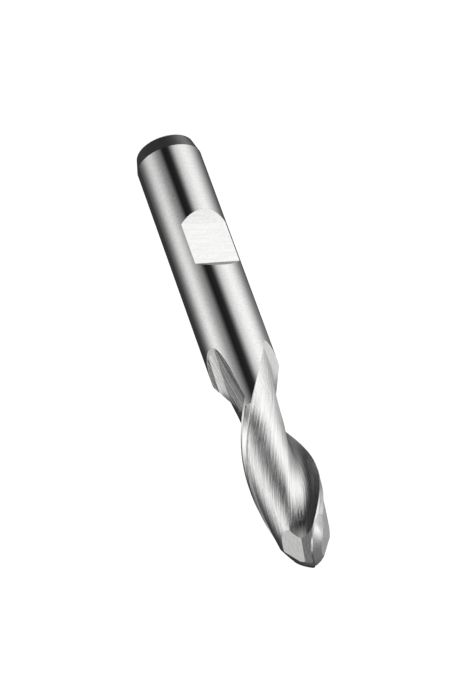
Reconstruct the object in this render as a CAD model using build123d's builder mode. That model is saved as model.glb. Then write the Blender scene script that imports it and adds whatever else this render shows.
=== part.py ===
from build123d import *
import os
from math import acos, asin, cos, degrees, radians, sin, tan

# Two-flute ball nose end mill, ground from one bar. Sizes are in millimetres and degrees.
# The tool stands on the plane end of its shank, the axis is +Z and the tip is on top.

# The bar
shank_diameter = 10.0
overall_length = 71.7
end_taper_length = 2.4
end_taper_angle = 14.0
end_edge_round = 0.3

# The clamping flat on the shank, with its two sloping ends
flat_length = 7.0
flat_depth = 1.5
flat_distance = 19.3
flat_end_angle = 45.0

# The helix and the way the teeth are turned
flute_count = 2
helix_angle = 30.0
end_edge_azimuth = -60.8

# Cross-section of a flute, seen with its cutting edge on the X axis
rake_angle = 8.0
rake_foot_radius = 1.6
flute_floor_distance = 2.44
flute_floor_azimuth = 34.4
core_diameter = 5.38
core_touch_azimuth = 31.0
land_width = 1.24
heel_step = 0.41
margin_width = 0.35
land_relief_angle = 16.0

# Where the flutes run out towards the shank
rake_runout_height = 46.0
rake_runout_slope = 14.6
back_start_azimuth = 50.0
back_facet_azimuth = 175.6
back_facet_slope = 23.5
back_facet_height = 37.2
relief_start_height = 47.3

# The ball end: how far each ground plane lies from the tip
gash_rake_tilt = 29.7
gash_rake_inward = 5.5
gash_floor_azimuth = 11.6
gash_floor_slope = 28.1
gash_floor_distance = 0.62
gash_side_azimuth = 37.1
gash_side_slope = 19.0
gash_side_distance = 1.03
ball_margin_width = 0.2
ball_relief_angle = 22.0
ball_back_azimuth = 83.8
ball_back_slope = 35.3
ball_back_distance = 0.82
ball_heel_azimuth = 79.4
ball_heel_slope = 27.8
ball_heel_distance = 1.38

# Values that follow from the sizes above
shank_radius = shank_diameter / 2
core_radius = core_diameter / 2
ball_height = overall_length - shank_radius
end_face_radius = shank_radius - end_taper_length * tan(radians(end_taper_angle))
turn_per_mm = degrees(tan(radians(helix_angle)) / shank_radius)
land_angle = degrees(land_width / shank_radius)
margin_angle = degrees(margin_width / shank_radius)
heel_radius = shank_radius - heel_step
edge_lag = degrees(acos(-tan(radians(gash_rake_tilt)))) - 90 - gash_rake_inward
tip = Vector(0, 0, overall_length)

# The cutters reach this far outside the bar
reach = 2 * shank_diameter
flat_end_run = (reach - shank_radius + flat_depth) * tan(radians(flat_end_angle))


def polar(radius, azimuth):
    """Point in a cross-section."""
    return Vector(radius * cos(radians(azimuth)), radius * sin(radians(azimuth)))


def direction(azimuth, slope):
    """Unit vector that leans up from the cross-section by the slope."""
    level = polar(cos(radians(slope)), azimuth)
    return Vector(level.X, level.Y, sin(radians(slope)))


def edge_azimuth(height):
    """Where the helical cutting edge of the first tooth stands at a height."""
    return end_edge_azimuth - edge_lag + turn_per_mm * (height - ball_height)


def section_plane(height):
    """Cross-section plane whose X axis points at the first cutting edge."""
    return Plane(origin=(0, 0, height), x_dir=direction(edge_azimuth(height), 0), z_dir=(0, 0, 1))


def tip_plane(azimuth, slope, distance):
    """Ground plane at the ball end, given by its normal and its distance from the tip."""
    normal = direction(end_edge_azimuth + azimuth, slope)
    return Plane(origin=tip + normal * distance, z_dir=normal)


def twist(profile, start, end):
    """Carry a cross-section up the tool along the helix of the flutes."""
    turn = turn_per_mm * (end - start)
    return Solid.extrude_linear_with_rotation(profile, (0, 0, start), (0, 0, end - start), turn)


# Circle of the tooth backs: it touches the core and passes through the heel
heel_azimuth = 360.0 / flute_count - land_angle
heel_reach = heel_radius * cos(radians(heel_azimuth - core_touch_azimuth))
back_radius = (heel_radius**2 + core_radius**2 - 2 * core_radius * heel_reach) / (
    2 * (core_radius - heel_reach)
)
back_centre = polar(core_radius - back_radius, core_touch_azimuth)


def back_point(azimuth):
    """Point of the tooth-back circle in the direction of an azimuth."""
    ray = polar(1, azimuth)
    along = back_centre.dot(ray)
    across = back_centre.cross(ray).length
    return ray * (along + (back_radius**2 - across**2) ** 0.5)


# The bar: shank end, taper and cylinder, with the ball on top
ball_centre = Vector(0, 0, ball_height)
with BuildPart() as bar:
    with BuildSketch(Plane.XZ):
        with BuildLine():
            Polyline(
                (0, 0),
                (end_face_radius, 0),
                (shank_radius, end_taper_length),
                (shank_radius, ball_height),
                (0, ball_height),
                close=True,
            )
        make_face()
    revolve(axis=Axis.Z)
    fillet(bar.edges().filter_by(GeomType.CIRCLE).sort_by(Axis.Z)[0], end_edge_round)
    with Locations(ball_centre):
        Sphere(shank_radius, rotation=(0, 90, 0))

# Rake side of a flute: rake face, round foot and straight floor
rake_slope = tan(radians(rake_angle))
floor_normal = polar(1, flute_floor_azimuth)
foot_x = (flute_floor_distance + shank_radius * rake_slope * floor_normal.Y) / (
    floor_normal.X + rake_slope * floor_normal.Y
)
foot = Vector(foot_x, (foot_x - shank_radius) * rake_slope)
rake_outside = Vector(reach, (reach - shank_radius) * rake_slope)
floor_outside = foot + polar(reach, flute_floor_azimuth + 90)

with BuildSketch(section_plane(rake_runout_height)) as rake_profile:
    with BuildLine():
        Polyline(rake_outside, foot, floor_outside, (reach, reach), close=True)
    make_face()
    fillet(rake_profile.vertices().sort_by_distance(foot)[0], rake_foot_radius)

# The wheel follows the helix and then leaves the bar on a straight slanted path
rake_exit = direction(edge_azimuth(rake_runout_height) + flute_floor_azimuth, rake_runout_slope - 90)
rake_exit_length = shank_radius / sin(radians(rake_runout_slope))
with BuildPart() as rake_cutter:
    add(twist(rake_profile.sketch.faces()[0], rake_runout_height, overall_length + 1))
    extrude(rake_profile.sketch, amount=rake_exit_length, dir=rake_exit)

# Back side of a flute: round back of the next tooth up to its heel
back_bottom = back_facet_height - 1
with BuildSketch(section_plane(back_bottom)) as back_profile:
    with BuildLine():
        back_arc = ThreePointArc(
            back_point(back_start_azimuth),
            back_point((back_start_azimuth + heel_azimuth) / 2),
            back_point(heel_azimuth),
        )
        Polyline(
            back_arc @ 1,
            polar(reach, heel_azimuth),
            polar(reach, (back_start_azimuth + heel_azimuth) / 2),
            polar(reach, back_start_azimuth),
            back_arc @ 0,
        )
    make_face()

# The wheel leaves the back on a plane, so the flute ends in a flat facet
facet_normal = direction(edge_azimuth(back_facet_height) + back_facet_azimuth, back_facet_slope)
facet_top = direction(edge_azimuth(back_facet_height) + back_facet_azimuth, 0) * shank_radius
facet_plane = Plane(origin=facet_top + Vector(0, 0, back_facet_height), z_dir=facet_normal)
with BuildPart() as back_cutter:
    add(twist(back_profile.sketch.faces()[0], back_bottom, overall_length + 1))
    split(bisect_by=facet_plane, keep=Keep.TOP)

# Relieved land behind the narrow margin of the helical edge
with BuildSketch(section_plane(relief_start_height)) as relief_profile:
    with BuildLine():
        Polyline(
            polar(shank_radius, -margin_angle),
            polar(shank_radius, -margin_angle - 2 * land_relief_angle),
            polar(reach, -margin_angle - 2 * land_relief_angle),
            polar(reach, -margin_angle),
            close=True,
        )
    make_face()

with BuildPart() as relief_cutter:
    add(twist(relief_profile.sketch.faces()[0], relief_start_height, overall_length + 1))

# Rake plane of the ball edge, and the same plane at the back of the ball margin
rake_plane = tip_plane(90 + gash_rake_inward, -gash_rake_tilt, 0)
margin_plane = rake_plane.offset(-ball_margin_width)

# Relief ball: it meets the true ball at the back of the margin under the relief angle
margin_distance = margin_plane.to_local_coords(ball_centre).Z
margin_circle_radius = (shank_radius**2 - margin_distance**2) ** 0.5
relief_lean = asin(margin_distance / shank_radius) + radians(ball_relief_angle)
relief_ball_radius = margin_circle_radius / cos(relief_lean)
relief_ball_shift = relief_ball_radius * sin(relief_lean) - margin_distance
relief_ball_centre = ball_centre + margin_plane.z_dir * relief_ball_shift

with BuildPart() as ball_relief_cutter:
    with Locations(margin_plane):
        Box(2 * reach, 2 * reach, reach, align=(Align.CENTER, Align.CENTER, Align.MAX))
    with Locations(relief_ball_centre):
        Sphere(relief_ball_radius, mode=Mode.SUBTRACT)
    split(bisect_by=Plane.XY.offset(ball_height), keep=Keep.TOP)

# Gash in front of the ball edge: a floor near the axis and a steeper side
floor_plane = tip_plane(gash_floor_azimuth, gash_floor_slope, gash_floor_distance)
side_plane = tip_plane(gash_side_azimuth, gash_side_slope, gash_side_distance)
with BuildPart() as gash_cutter:
    with Locations(floor_plane, side_plane):
        Box(2 * reach, 2 * reach, reach, align=(Align.CENTER, Align.CENTER, Align.MIN))
    split(bisect_by=rake_plane, keep=Keep.TOP)

# Two planes ground off the back of the tooth, behind the relief of the ball
back_plane = tip_plane(-ball_back_azimuth, ball_back_slope, ball_back_distance)
heel_plane = tip_plane(-ball_heel_azimuth, ball_heel_slope, ball_heel_distance)
with BuildPart() as clearance_cutter:
    with Locations(back_plane, heel_plane):
        Box(2 * reach, 2 * reach, reach, align=(Align.CENTER, Align.CENTER, Align.MIN))

with BuildPart() as end_mill:
    add(bar.part)
    # Clamping flat, facing -Y
    with BuildSketch(Plane.YZ):
        with BuildLine():
            Polyline(
                (flat_depth - shank_radius, flat_distance - flat_length / 2),
                (flat_depth - shank_radius, flat_distance + flat_length / 2),
                (-reach, flat_distance + flat_length / 2 + flat_end_run),
                (-reach, flat_distance - flat_length / 2 - flat_end_run),
                close=True,
            )
        make_face()
    extrude(amount=shank_radius, both=True, mode=Mode.SUBTRACT)
    with PolarLocations(0, flute_count):
        add(rake_cutter.part, mode=Mode.SUBTRACT)
        add(back_cutter.part, mode=Mode.SUBTRACT)
        add(relief_cutter.part, mode=Mode.SUBTRACT)
        add(gash_cutter.part, mode=Mode.SUBTRACT)
        add(ball_relief_cutter.part, mode=Mode.SUBTRACT)
        add(clearance_cutter.part, mode=Mode.SUBTRACT)

end_mill.part.label = "end_mill"
os.makedirs("parts", exist_ok=True)
export_step(end_mill.part, "parts/end_mill.step")
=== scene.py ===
import math

import bmesh
import bpy
from bpy.props import (
    FloatProperty,
    FloatVectorProperty,
    PointerProperty,
)
from mathutils import Matrix, Vector

bl_info = {
    "name": "Ball nose end mill",
    "version": (1, 0, 0),
    "blender": (4, 5, 0),
    "location": "View3D > Sidebar > End mill",
    "description": "Gives a ball nose end mill its ground steel and stands it in a small studio",
    "category": "Object",
}

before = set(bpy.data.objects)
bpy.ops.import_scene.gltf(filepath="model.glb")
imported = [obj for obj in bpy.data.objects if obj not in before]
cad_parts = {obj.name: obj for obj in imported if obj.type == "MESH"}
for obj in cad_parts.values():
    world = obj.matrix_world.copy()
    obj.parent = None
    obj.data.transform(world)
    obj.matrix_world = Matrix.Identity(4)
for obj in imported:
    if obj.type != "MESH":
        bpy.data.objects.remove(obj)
MILL = "end_mill"
WHITE = (1.0, 1.0, 1.0, 1.0)


# Shader nodes, written as expressions


class Number:
    """A value socket that can be used in sums; each sum adds a Math node."""

    def __init__(self, graph, socket):
        self.graph = graph
        self.socket = socket

    def math(self, operation, *others):
        return self.graph.math(operation, self, *others)

    def __add__(self, other):
        return self.math("ADD", other)

    def __radd__(self, other):
        return self.graph.math("ADD", other, self)

    def __sub__(self, other):
        return self.math("SUBTRACT", other)

    def __rsub__(self, other):
        return self.graph.math("SUBTRACT", other, self)

    def __mul__(self, other):
        return self.math("MULTIPLY", other)

    def __rmul__(self, other):
        return self.graph.math("MULTIPLY", other, self)

    def __truediv__(self, other):
        return self.math("DIVIDE", other)

    def __rtruediv__(self, other):
        return self.graph.math("DIVIDE", other, self)


class Graph:
    """The node tree of one material or world."""

    def __init__(self, owner):
        owner.use_nodes = True
        self.tree = owner.node_tree
        self.tree.nodes.clear()

    def node(self, kind, settings=None, inputs=None):
        """Adds a node, sets it up, and then fills or links its sockets."""
        made = self.tree.nodes.new(kind)
        for key, value in (settings or {}).items():
            setattr(made, key, value)
        for key, value in (inputs or {}).items():
            self.fill(made.inputs[key], value)
        return made

    def fill(self, socket, value):
        """Links a socket to another one, or sets its value."""
        if isinstance(value, Number):
            self.tree.links.new(value.socket, socket)
        elif isinstance(value, bpy.types.NodeSocket):
            self.tree.links.new(value, socket)
        else:
            socket.default_value = value

    def math(self, operation, *values):
        """One Math node on its numbers."""
        made = self.node("ShaderNodeMath", {"operation": operation}, dict(enumerate(values)))
        return Number(self, made.outputs[0])

    def step(self, value, low, high):
        """Rises smoothly from 0 at low to 1 at high."""
        made = self.node(
            "ShaderNodeMapRange",
            {"interpolation_type": "SMOOTHSTEP"},
            {"Value": value, "From Min": low, "From Max": high},
        )
        return Number(self, made.outputs["Result"])

    def parts(self, vector):
        """The X, Y and Z of a vector socket."""
        made = self.node("ShaderNodeSeparateXYZ", None, {"Vector": vector})
        return [Number(self, made.outputs[axis]) for axis in "XYZ"]

    def vector(self, x, y, z):
        """A vector socket made of three numbers."""
        made = self.node("ShaderNodeCombineXYZ", None, {"X": x, "Y": y, "Z": z})
        return made.outputs["Vector"]

    def noise(self, place, across, along, detail, roughness):
        """Noise from -1 to 1, with its own number of cells per metre across and along the tool."""
        x, y, z = place
        stretched = self.vector(x * across, y * across, z * along)
        made = self.node(
            "ShaderNodeTexNoise",
            {"noise_dimensions": "3D"},
            {"Vector": stretched, "Scale": 1.0, "Detail": detail, "Roughness": roughness},
        )
        return Number(self, made.outputs[0]) * 2.0 - 1.0

    def vector_math(self, operation, *values):
        """One Vector Math node on its vectors."""
        made = self.node("ShaderNodeVectorMath", {"operation": operation}, dict(enumerate(values)))
        return made.outputs["Vector"]

    def dot(self, first, second):
        """How well two directions agree, as a cosine."""
        made = self.node(
            "ShaderNodeVectorMath", {"operation": "DOT_PRODUCT"}, {0: first, 1: second}
        )
        return Number(self, made.outputs["Value"])

    def mix_vectors(self, factor, first, second):
        """Mixes two vectors; the Mix node has them at its inputs 4 and 5 and its output 1."""
        made = self.node(
            "ShaderNodeMix", {"data_type": "VECTOR"}, {0: factor, 4: first, 5: second}
        )
        return made.outputs[1]

    def scale_colour(self, colour, amount):
        """A colour made lighter or darker by a number, which scales it as a vector."""
        made = self.node(
            "ShaderNodeVectorMath", {"operation": "SCALE"}, {"Vector": colour, "Scale": amount}
        )
        return made.outputs["Vector"]

    def end(self, kind, socket, shader):
        """Ends the tree in its output node."""
        made = self.node(kind)
        self.fill(made.inputs[socket], shader)


# Settings


class EndMillSteel(bpy.types.PropertyGroup):
    """Finish of the ground steel."""

    colour: FloatVectorProperty(
        name="Steel colour",
        description="Colour of the bare ground steel",
        subtype="COLOR",
        size=3,
        min=0.0,
        max=1.0,
        default=(0.66, 0.66, 0.655),
    )
    shank_roughness: FloatProperty(
        name="Shank roughness",
        description="How dull the cylindrical grinding leaves the shank",
        subtype="FACTOR",
        min=0.0,
        max=1.0,
        default=0.09,
    )
    flute_roughness: FloatProperty(
        name="Flute roughness",
        description="How dull the grinding wheel leaves the flutes",
        subtype="FACTOR",
        min=0.0,
        max=1.0,
        default=0.17,
    )
    shank_line: FloatProperty(
        name="Shank line width",
        description="Width of the grinding lines that run round the shank",
        unit="LENGTH",
        default=0.00012,
    )
    flute_line: FloatProperty(
        name="Flute line width",
        description="Width of the grinding lines that run along the flutes",
        unit="LENGTH",
        default=0.00028,
    )
    shank_depth: FloatProperty(
        name="Shank line depth",
        description="Depth of the grinding lines on the shank",
        unit="LENGTH",
        default=0.000002,
    )
    flute_depth: FloatProperty(
        name="Flute line depth",
        description="Depth of the grinding lines in the flutes",
        unit="LENGTH",
        default=0.000028,
    )
    lead_start: FloatProperty(
        name="Start of the helix",
        description="Height from which the flutes are helical; below it they run out straight",
        unit="LENGTH",
        default=0.046,
    )
    helix_angle: FloatProperty(
        name="Helix angle",
        description="Angle of the flutes to the axis at the outside of the tool",
        subtype="ANGLE",
        default=math.radians(30),
    )
    runout_azimuth: FloatProperty(
        name="Run-out azimuth",
        description="Direction in which the wheel leaves the flute below the helix",
        subtype="ANGLE",
        default=math.radians(167.4),
    )
    runout_slope: FloatProperty(
        name="Run-out slope",
        description="Slope of the wheel's path where it leaves the flute",
        subtype="ANGLE",
        default=math.radians(14.6),
    )
    facet_azimuth: FloatProperty(
        name="Facet azimuth",
        description="Direction that the flat facet at the end of a tooth back faces",
        subtype="ANGLE",
        default=math.radians(-109.7),
    )
    facet_slope: FloatProperty(
        name="Facet slope",
        description="How far the facet at the end of a tooth back leans towards the tip",
        subtype="ANGLE",
        default=math.radians(23.5),
    )
    crease_round: FloatProperty(
        name="Rounding in the flute",
        description="How far the reflections run smoothly round the inner corners of a flute",
        unit="LENGTH",
        default=0.0013,
    )
    edge_width: FloatProperty(
        name="Edge width",
        description="Width of the fine bright lines along the edges",
        unit="LENGTH",
        default=0.0001,
    )
    tool_radius: FloatProperty(
        name="Tool radius",
        description="Outside radius of the shank and of the teeth",
        unit="LENGTH",
        default=0.005,
    )


class EndMillStudio(bpy.types.PropertyGroup):
    """Floor, lights and camera round the tool."""

    floor_size: FloatProperty(
        name="Floor size",
        description="Side of the square floor",
        unit="LENGTH",
        default=6.0,
    )
    floor_colour: FloatVectorProperty(
        name="Floor colour",
        description="Colour of the plain pale floor",
        subtype="COLOR",
        size=3,
        min=0.0,
        max=1.0,
        default=(0.9, 0.9, 0.9),
    )
    brightness: FloatProperty(
        name="Studio brightness",
        description="Strength of all the soft lights together",
        min=0.0,
        default=1.0,
    )
    camera_azimuth: FloatProperty(
        name="Camera azimuth",
        description="Direction of the camera round the tool, from the front towards the right",
        subtype="ANGLE",
        default=math.radians(29.64),
    )
    camera_elevation: FloatProperty(
        name="Camera elevation",
        description="Height of the camera above the horizon",
        subtype="ANGLE",
        default=math.radians(28.6),
    )
    camera_roll: FloatProperty(
        name="Camera roll",
        description="Turn of the camera about its line of sight; the tip hangs down in the picture",
        subtype="ANGLE",
        default=math.radians(160.09),
    )
    camera_distance: FloatProperty(
        name="Camera distance",
        description="Distance from the camera to the point it looks at",
        unit="LENGTH",
        default=0.42803,
    )
    aim_sideways: FloatProperty(
        name="Aim sideways",
        description="How far beside the axis the camera looks",
        unit="LENGTH",
        default=0.000353,
    )
    aim_height: FloatProperty(
        name="Aim height",
        description="Height of the point that the camera looks at",
        unit="LENGTH",
        default=0.03572,
    )
    lens: FloatProperty(
        name="Focal length",
        description="Focal length of the camera, in millimetres",
        unit="CAMERA",
        default=153.06,
    )


# Heights and radii, in metres, between which one finish of the steel fades into the next. Inside
# the hollow, the corners of a flute are rounded; edges and lands lie near the outside.
FLAT_START = (0.010, 0.011)
FLUTES_START = (0.0366, 0.0370)
LANDS_START = (0.0470, 0.0474)
LANDS_END = (0.066, 0.067)
BALL_START = (0.0655, 0.0665)
HOLLOW_END = (0.0036, 0.0044)
EDGES_START = (0.0042, 0.0046)
LANDS_INSIDE = (0.00445, 0.0046)

# Depths under the outside of the bar, in metres: a face counts as its outside down to the first,
# and as ground into it from the second
OUTSIDE_DEPTH = 0.00002
GROUND_DEPTH = 0.00006

# The height, in metres, over which the straight run-out passes into the helix
HELIX_FADE = 0.0002

# How squarely a face has to look in the direction of a run-out, of a facet, or straight outwards
# to belong to it, as cosines between which the mask fades in
RUNOUT_MATCH = (0.955, 0.975)
FACET_MATCH = (0.985, 0.995)
LAND_MATCH = (0.88, 0.93)

# How far the rounded normal turns away from the face where an edge line fades in, as 1 - cosine
EDGE_TURN = (0.02, 0.16)

# Millimetres in a metre
PER_METRE = 1000.0

# The light strip in the run-out, in millimetres: where it starts and ends across the run-out at
# one height, over what width it fades, and how far it moves sideways per millimetre of height
STRIP_START = 0.82
STRIP_END = 2.52
STRIP_FADE = 0.1
STRIP_HEIGHT = 41.5
STRIP_SKEW = 0.35

# How far the hollow run-out leans the normal sideways: before the strip, what the start of the
# strip adds, what each millimetre from there adds, and what the end of the strip adds
LEAN_BEFORE = -0.13
LEAN_START = 0.15
LEAN_PER_MM = 0.088
LEAN_END = -0.36

# Below this height, in millimetres, the normal of a tooth back is pulled towards that of its
# facet, by so much more for each millimetre, up to a limit
PULL_START = 50.5
PULL_PER_MM = 0.25
PULL_LIMIT = 0.8

# Grain of the steel in cells per metre, in the directions that no line width sets
RING_CELLS = 500.0
CUT_CELLS = 260.0
SPECKLE_CELLS = (2000.0, 5500.0)
LINE_CELLS = 160.0
FINE_CELLS = 420.0

# How much finer the cuts are than the rings, and the fine lines than the others
CUT_SCALE = 0.45
FINE_SCALE = 2.6

# Brightness of the steel, where 1 is its own colour, and what grain, painted highlights and painted
# shade add to it
SHANK_TONE = 0.98
RING_TONE = 0.06
SPECKLE_TONE = 0.20
FLAT_TONE = 0.16
CUT_TONE = 0.16
FLUTE_TONE = 1.07
LINE_TONE = 0.22
FINE_TONE = 0.18
# Painted highlight: the lands are made lighter
LAND_PAINTED_HIGHLIGHT = 0.27
# Painted highlight: the fine lines along the edges are made lighter
EDGE_PAINTED_HIGHLIGHT = 0.2
# Painted shade: the hollow of the run-outs is made darker
RUNOUT_PAINTED_SHADE = -0.14
# Painted shade: the facets at the ends of the tooth backs are made darker
FACET_PAINTED_SHADE = -0.14
# Painted shade: the ball end is made darker
BALL_PAINTED_SHADE = -0.15

# What grain and zones add to the roughness
FLAT_ROUGHNESS = 0.10
LINE_ROUGHNESS = 0.03
SHANK_EDGE_ROUGHNESS = 0.2
FLUTE_EDGE_ROUGHNESS = 0.3

# How much deeper the cuts are than the rings, and the fine lines than the others
CUT_DEPTH = 1.5
FINE_DEPTH = 0.4

# The share of the lines' depth and of their tone that the facets and the ball end lack
FACET_CALM = (0.8, 0.7)
BALL_CALM = (0.6, 0.4)


class MillSteel:
    """The ground steel of the end mill, worked out from where a point lies on the tool."""

    def __init__(self, graph, settings):
        self.graph = graph
        self.settings = settings
        place = graph.node("ShaderNodeTexCoord").outputs["Object"]
        self.x, self.y, self.z = graph.parts(place)
        self.radius = (self.x * self.x + self.y * self.y).math("SQRT")
        geometry = graph.node("ShaderNodeNewGeometry")
        self.normal = geometry.outputs["Normal"]
        self.face = geometry.outputs["True Normal"]
        self.face_parts = graph.parts(self.face)
        self.mark_zones()
        self.mark_edges()

    def mark_zones(self):
        """Masks of the flutes, their run-outs, facets and lands, the flat and the ball end."""
        graph, settings = self.graph, self.settings
        self.above_shank = graph.step(self.z, *FLUTES_START)
        ground = 1.0 - graph.step(
            self.radius, settings.tool_radius - GROUND_DEPTH, settings.tool_radius - OUTSIDE_DEPTH
        )
        self.in_flute = self.above_shank * ground
        self.in_flat = (1.0 - self.above_shank) * ground * graph.step(self.z, *FLAT_START)
        self.at_ball = graph.step(self.z, *BALL_START)

        # A flute ends in the straight path of the wheel and in the facet of its tooth back
        lead_start = settings.lead_start
        below_helix = 1.0 - graph.step(self.z, lead_start - HELIX_FADE, lead_start)
        flute_end = below_helix * self.in_flute
        _out, self.runout_side, squarely = self.towards(
            settings.runout_azimuth, settings.runout_slope
        )
        self.on_runout = flute_end * graph.step(squarely, *RUNOUT_MATCH)
        self.facet_out, self.facet_side, squarely = self.towards(
            settings.facet_azimuth, settings.facet_slope
        )
        self.on_facet = flute_end * graph.step(squarely, *FACET_MATCH)

        face_x, face_y, _face_z = self.face_parts
        outward = (face_x * self.x + face_y * self.y) / self.radius
        self.on_land = (
            self.in_flute
            * graph.step(outward, *LAND_MATCH)
            * graph.step(self.radius, *LANDS_INSIDE)
            * graph.step(self.z, *LANDS_START)
            * (1.0 - graph.step(self.z, *LANDS_END))
        )

    def towards(self, azimuth, slope):
        """Where a point lies along a direction, on which side, and how squarely its face looks so."""
        out = self.x * math.cos(azimuth) + self.y * math.sin(azimuth)
        side = out.math("SIGN")
        face_x, face_y, face_z = self.face_parts
        level = (face_x * math.cos(azimuth) + face_y * math.sin(azimuth)) * side
        return out, side, level * math.cos(slope) + face_z * math.sin(slope)

    def mark_edges(self):
        """Mask of the fine lines along the edges, where a painted highlight lightens the steel and
        the roughness rises.
        """
        graph = self.graph
        bevelled = graph.node(
            "ShaderNodeBevel", {"samples": 4}, {"Radius": self.settings.edge_width}
        )
        turned_away = 1.0 - graph.dot(bevelled.outputs["Normal"], self.face)
        self.on_edge = graph.step(turned_away, *EDGE_TURN) * graph.step(self.radius, *EDGES_START)

    def bend(self):
        """What the hollow of a run-out and the turn of a tooth back add to the normal."""
        graph, settings = self.graph, self.settings
        out_x = math.cos(settings.runout_azimuth)
        out_y = math.sin(settings.runout_azimuth)

        # In the hollow of a run-out lie a dark zone, a light strip and another dark zone
        beside = (self.y * out_x - self.x * out_y) * self.runout_side * PER_METRE
        zone = beside - (self.z * PER_METRE - STRIP_HEIGHT) * STRIP_SKEW
        lean = (
            graph.step(zone, STRIP_START - STRIP_FADE, STRIP_START + STRIP_FADE) * LEAN_START
            + (zone - STRIP_START).math("MAXIMUM", 0.0) * LEAN_PER_MM
            + graph.step(zone, STRIP_END - STRIP_FADE, STRIP_END + STRIP_FADE) * LEAN_END
            + LEAN_BEFORE
        ) * self.on_runout
        sideways = lean * self.runout_side

        # A tooth back turns gradually towards the facet that ends it
        beyond = (1.0 - self.on_runout) * (1.0 - self.on_facet)
        near = self.facet_out.math("ABSOLUTE") / self.radius * self.in_flute * beyond
        pull = (PULL_START - self.z * PER_METRE).math("MAXIMUM", 0.0) * PULL_PER_MM
        pull = pull.math("MINIMUM", PULL_LIMIT) * near
        level = pull * self.facet_side * math.cos(settings.facet_slope)
        return graph.vector(
            sideways * out_y + level * math.cos(settings.facet_azimuth),
            sideways * -out_x + level * math.sin(settings.facet_azimuth),
            pull * math.sin(settings.facet_slope),
        )

    def flute_normal(self):
        """The normal in the flutes, where one ground face runs smoothly into the next."""
        graph = self.graph
        rounded = graph.node(
            "ShaderNodeBevel", {"samples": 6}, {"Radius": self.settings.crease_round}
        )
        hollow = 1.0 - graph.step(self.radius, *HOLLOW_END)
        deep = self.above_shank * (1.0 - self.at_ball) * hollow
        smooth = graph.mix_vectors(deep, self.normal, rounded.outputs["Normal"])
        return graph.vector_math("NORMALIZE", graph.vector_math("ADD", smooth, self.bend()))

    def flute_lines(self):
        """Lines along the flutes, coarse and fine, with run-out and helix taken out."""
        settings = self.settings
        drop = (settings.lead_start - self.z).math("MAXIMUM", 0.0)
        shift = self.runout_side * drop * math.tan(settings.runout_slope)
        path_x = self.x - shift * math.cos(settings.runout_azimuth)
        path_y = self.y - shift * math.sin(settings.runout_azimuth)
        turn_per_metre = math.tan(settings.helix_angle) / settings.tool_radius
        turn = self.z.math("MAXIMUM", settings.lead_start) * -turn_per_metre
        across_x = path_x * turn.math("COSINE") - path_y * turn.math("SINE")
        across_y = path_x * turn.math("SINE") + path_y * turn.math("COSINE")
        place = (across_x, across_y, self.z)
        per_metre = 1.0 / settings.flute_line
        lines = self.graph.noise(place, per_metre, LINE_CELLS, detail=3.0, roughness=0.62)
        fine = self.graph.noise(
            place, per_metre * FINE_SCALE, FINE_CELLS, detail=2.0, roughness=0.5
        )
        return lines, fine

    def flutes(self):
        """Shader of the flutes, the lands and the ball end."""
        lines, fine = self.flute_lines()
        calm_depth = (1.0 - self.on_facet * FACET_CALM[0]) * (1.0 - self.at_ball * BALL_CALM[0])
        calm_tone = (1.0 - self.on_facet * FACET_CALM[1]) * (1.0 - self.at_ball * BALL_CALM[1])
        line_height = (lines + fine * FINE_DEPTH) * calm_depth
        line_tone = (lines * LINE_TONE + fine * FINE_TONE) * calm_tone
        # Grain, with painted highlights on the lands and edges and painted shade on the run-outs,
        # facets and ball end
        tone = (
            FLUTE_TONE
            + self.on_land * LAND_PAINTED_HIGHLIGHT
            + self.on_edge * EDGE_PAINTED_HIGHLIGHT
            + line_tone
            + self.on_runout * RUNOUT_PAINTED_SHADE
            + self.on_facet * FACET_PAINTED_SHADE
            + self.at_ball * BALL_PAINTED_SHADE
        )
        settings = self.settings
        dull = settings.flute_roughness + lines * LINE_ROUGHNESS
        return self.metal(
            tone,
            dull + self.on_edge * FLUTE_EDGE_ROUGHNESS,
            line_height * settings.flute_depth,
            self.flute_normal(),
            stretch=0.5,
            turn=0.0,
        )

    def shank(self):
        """Shader of the shank, with fine rings round it and coarser cuts across its flat."""
        graph, settings = self.graph, self.settings
        place = (self.x, self.y, self.z)
        per_metre = 1.0 / settings.shank_line
        rings = graph.noise(place, RING_CELLS, per_metre, detail=2.0, roughness=0.6)
        cuts = graph.noise(place, CUT_CELLS, per_metre * CUT_SCALE, detail=3.0, roughness=0.65)
        speckle = graph.noise(place, *SPECKLE_CELLS, detail=2.0, roughness=0.7)
        flat_tone = self.in_flat * (cuts * CUT_TONE + FLAT_TONE)
        dull = settings.shank_roughness + self.in_flat * FLAT_ROUGHNESS
        ring_height = rings * settings.shank_depth * (1.0 - self.in_flat)
        cut_height = cuts * self.in_flat * (settings.shank_depth * CUT_DEPTH)
        return self.metal(
            SHANK_TONE + rings * RING_TONE + speckle * SPECKLE_TONE + flat_tone,
            dull + self.on_edge * SHANK_EDGE_ROUGHNESS,
            ring_height + cut_height,
            self.normal,
            stretch=0.85,
            turn=0.25,
        )

    def metal(self, tone, roughness, height, normal, stretch, turn):
        """Ground steel; stretch and turn give the shape and direction of its highlights."""
        bump = self.graph.node(
            "ShaderNodeBump",
            None,
            {"Strength": 1.0, "Distance": 1.0, "Height": height, "Normal": normal},
        )
        made = self.graph.node(
            "ShaderNodeBsdfPrincipled",
            None,
            {
                "Base Color": self.graph.scale_colour(tuple(self.settings.colour), tone),
                "Metallic": 1.0,
                "Roughness": roughness,
                "Anisotropic": stretch,
                "Anisotropic Rotation": turn,
                "Normal": bump.outputs["Normal"],
            },
        )
        return made.outputs["BSDF"]

    def build(self):
        """Lays the finish of the flutes into that of the shank, which covers the rest."""
        mixed = self.graph.node(
            "ShaderNodeMixShader", None, {0: self.in_flute, 1: self.shank(), 2: self.flutes()}
        )
        self.graph.end("ShaderNodeOutputMaterial", "Surface", mixed.outputs[0])


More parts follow.
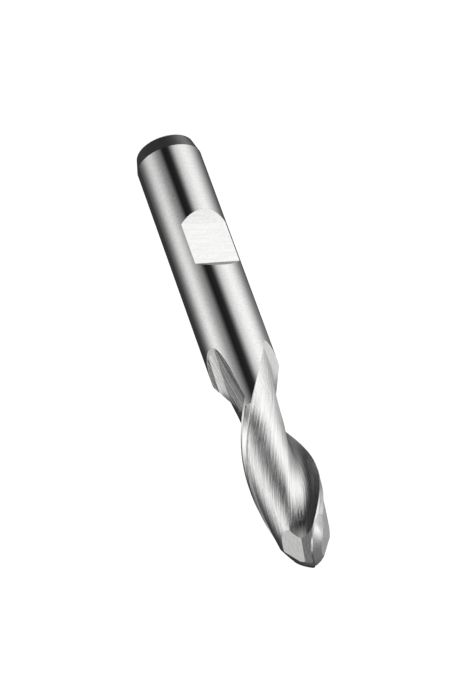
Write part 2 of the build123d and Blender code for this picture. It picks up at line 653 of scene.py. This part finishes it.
class OBJECT_OT_end_mill_steel(bpy.types.Operator):
    """Gives the end mill its ground steel, with lines round the shank and along the flutes"""

    bl_idname = "object.end_mill_steel"
    bl_label = "Dress the end mill"
    bl_options = {"REGISTER", "UNDO"}

    def execute(self, context):
        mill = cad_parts.get(MILL)
        if mill is None:
            raise RuntimeError("the frame has no node called " + MILL)
        steel = bpy.data.materials.new("ground_steel")
        MillSteel(Graph(steel), context.scene.end_mill_steel).build()
        mill.data.materials.clear()
        mill.data.materials.append(steel)
        return {"FINISHED"}


# Soft lights round the tool, as the steel mirrors them. Each one is (name, azimuth, spread to its
# left and right, elevations between which it comes in and between which it goes out, share that is
# left above them, brightness). Angles are in degrees; azimuth 0 is the camera's side and 90 the
# right of the picture. The glow of the floor starts straight below.
SOFT_LIGHTS = (
    ("right softbox", 67, 34, 34, (-60, -27), (-3, 34), 0.53, 1.36),
    ("left softbox", -62, 23, 23, (-45, -26), (-9, 13), 0.58, 1.26),
    ("right edge light", 99, 13, 14, (7, 15), (20, 34), 0.0, 0.9),
    ("back light", 146, 14, 12, (-32, -22), (-2, 14), 0.35, 0.40),
    ("high light", 56, 29, 21, (41, 52), (57, 80), 0.25, 1.0),
    ("high left light", -104, 48, 27, (2, 18), (70, 78), 0.07, 0.24),
    ("glow of the floor", 165, 34, 38, (-92, -91), (-62, -42), 0.0, 0.55),
)

# Faint light from everywhere round the tool
ROOM_LIGHT = 0.045

# Dark gap between the softboxes: the azimuths over which it comes in and goes out, the elevations
# over which it does, and the share of light that it takes
GAP_AZIMUTHS = ((-22, -4), (10, 36))
GAP_ELEVATIONS = ((-63, -46), (-24, 1))
GAP_DEPTH = 0.93

# Lights further round than this need their angles counted across the back of the tool
BEHIND = 90

# The floor is mostly an even glow, so that it comes out as plain as the photograph's ground
FLOOR_GLOW = 1.12
FLOOR_GLOW_SHARE = 0.92


class SCENE_OT_end_mill_studio(bpy.types.Operator):
    """Makes the pale floor, the soft studio light and the camera"""

    bl_idname = "scene.end_mill_studio"
    bl_label = "Make the studio"
    bl_options = {"REGISTER", "UNDO"}

    def execute(self, context):
        settings = context.scene.end_mill_studio
        self.make_floor(context, settings)
        self.make_light(context, settings)
        self.make_camera(context, settings)
        context.scene.view_settings.view_transform = "Standard"
        context.scene.view_settings.look = "None"
        return {"FINISHED"}

    def make_floor(self, context, settings):
        mesh = bpy.data.meshes.new("floor")
        shape = bmesh.new()
        bmesh.ops.create_grid(shape, x_segments=1, y_segments=1, size=settings.floor_size / 2)
        shape.to_mesh(mesh)
        shape.free()
        floor = bpy.data.objects.new("floor", mesh)
        context.scene.collection.objects.link(floor)
        # The steel mirrors the studio lights and not the floor
        floor.visible_glossy = False
        floor.visible_shadow = False
        paint = bpy.data.materials.new("pale_floor")
        graph = Graph(paint)
        colour = tuple(settings.floor_colour) + (1.0,)
        matt = graph.node("ShaderNodeBsdfDiffuse", None, {"Color": colour})
        glow = graph.node("ShaderNodeEmission", None, {"Color": WHITE, "Strength": FLOOR_GLOW})
        mixed = graph.node(
            "ShaderNodeMixShader",
            None,
            {0: FLOOR_GLOW_SHARE, 1: matt.outputs[0], 2: glow.outputs[0]},
        )
        graph.end("ShaderNodeOutputMaterial", "Surface", mixed.outputs[0])
        mesh.materials.append(paint)

    def make_light(self, context, settings):
        world = bpy.data.worlds.new("studio")
        context.scene.world = world
        graph = Graph(world)
        towards = graph.node("ShaderNodeTexCoord").outputs["Generated"]
        x, y, z = graph.parts(towards)
        camera_side = settings.camera_azimuth
        front = x * math.sin(camera_side) - y * math.cos(camera_side)
        right = x * -math.cos(camera_side) - y * math.sin(camera_side)
        azimuth = right.math("ARCTAN2", front) * math.degrees(1)
        elevation = z.math("ARCSINE") * math.degrees(1)
        light = ROOM_LIGHT
        for _name, centre, left, wide, low, high, share, strength in SOFT_LIGHTS:
            off = azimuth - float(centre)
            if abs(centre) > BEHIND:
                off = (off + 180.0).math("WRAP", 360.0, 0.0) - 180.0
            off = (off * (1.0 / wide)).math("MAXIMUM", off * (-1.0 / left))
            spread = (off * off * -0.5).math("EXPONENT")
            gone = graph.step(elevation, *high) * (1.0 - share)
            height = graph.step(elevation, *low) * (1.0 - gone)
            light = light + spread * height * strength
        gap = self.between(graph, azimuth, *GAP_AZIMUTHS)
        gap = gap * self.between(graph, elevation, *GAP_ELEVATIONS)
        light = light * (1.0 - gap * GAP_DEPTH) * settings.brightness
        seen = graph.node("ShaderNodeLightPath").outputs["Is Camera Ray"]
        soft_light = graph.node("ShaderNodeBackground", None, {"Color": WHITE, "Strength": light})
        pale = graph.node("ShaderNodeBackground", None, {"Color": WHITE, "Strength": 1.0})
        mixed = graph.node(
            "ShaderNodeMixShader", None, {0: seen, 1: soft_light.outputs[0], 2: pale.outputs[0]}
        )
        graph.end("ShaderNodeOutputWorld", "Surface", mixed.outputs[0])

    def between(self, graph, angle, coming, going):
        """1 between two soft edges of a range of angles, and 0 outside them."""
        return graph.step(angle, *coming) * (1.0 - graph.step(angle, *going))

    def make_camera(self, context, settings):
        data = bpy.data.cameras.new("camera")
        data.lens = settings.lens
        data.sensor_width = 36.0
        camera = bpy.data.objects.new("camera", data)
        context.scene.collection.objects.link(camera)
        azimuth = settings.camera_azimuth
        elevation = settings.camera_elevation
        back = Vector((
            math.sin(azimuth) * math.cos(elevation),
            -math.cos(azimuth) * math.cos(elevation),
            math.sin(elevation),
        ))
        aim = Vector((math.cos(azimuth), math.sin(azimuth), 0.0)) * settings.aim_sideways
        aim.z = settings.aim_height
        facing = (-back).to_track_quat("-Z", "Y").to_matrix().to_4x4()
        roll = Matrix.Rotation(settings.camera_roll, 4, "Z")
        camera.matrix_world = (
            Matrix.Translation(aim + back * settings.camera_distance) @ facing @ roll
        )
        data.clip_start = 0.01
        data.clip_end = 50.0
        context.scene.camera = camera


class VIEW3D_PT_end_mill(bpy.types.Panel):
    """Steps and settings of the end mill"""

    bl_idname = "VIEW3D_PT_end_mill"
    bl_label = "Ball nose end mill"
    bl_space_type = "VIEW_3D"
    bl_region_type = "UI"
    bl_category = "End mill"

    def draw(self, context):
        layout = self.layout
        for group, step in STEPS:
            box = layout.box()
            settings = getattr(context.scene, group)
            for name in settings.__annotations__:
                box.prop(settings, name)
            box.operator(step)


STEPS = (
    ("end_mill_steel", "object.end_mill_steel"),
    ("end_mill_studio", "scene.end_mill_studio"),
)

CLASSES = (
    EndMillSteel,
    EndMillStudio,
    OBJECT_OT_end_mill_steel,
    SCENE_OT_end_mill_studio,
    VIEW3D_PT_end_mill,
)


def register():
    for made in CLASSES:
        bpy.utils.register_class(made)
    bpy.types.Scene.end_mill_steel = PointerProperty(type=EndMillSteel)
    bpy.types.Scene.end_mill_studio = PointerProperty(type=EndMillStudio)


def unregister():
    del bpy.types.Scene.end_mill_studio
    del bpy.types.Scene.end_mill_steel
    for made in reversed(CLASSES):
        bpy.utils.unregister_class(made)


def main():
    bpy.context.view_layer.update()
    register()
    bpy.ops.object.end_mill_steel()
    bpy.ops.scene.end_mill_studio()


if __name__ == "__main__":
    main()
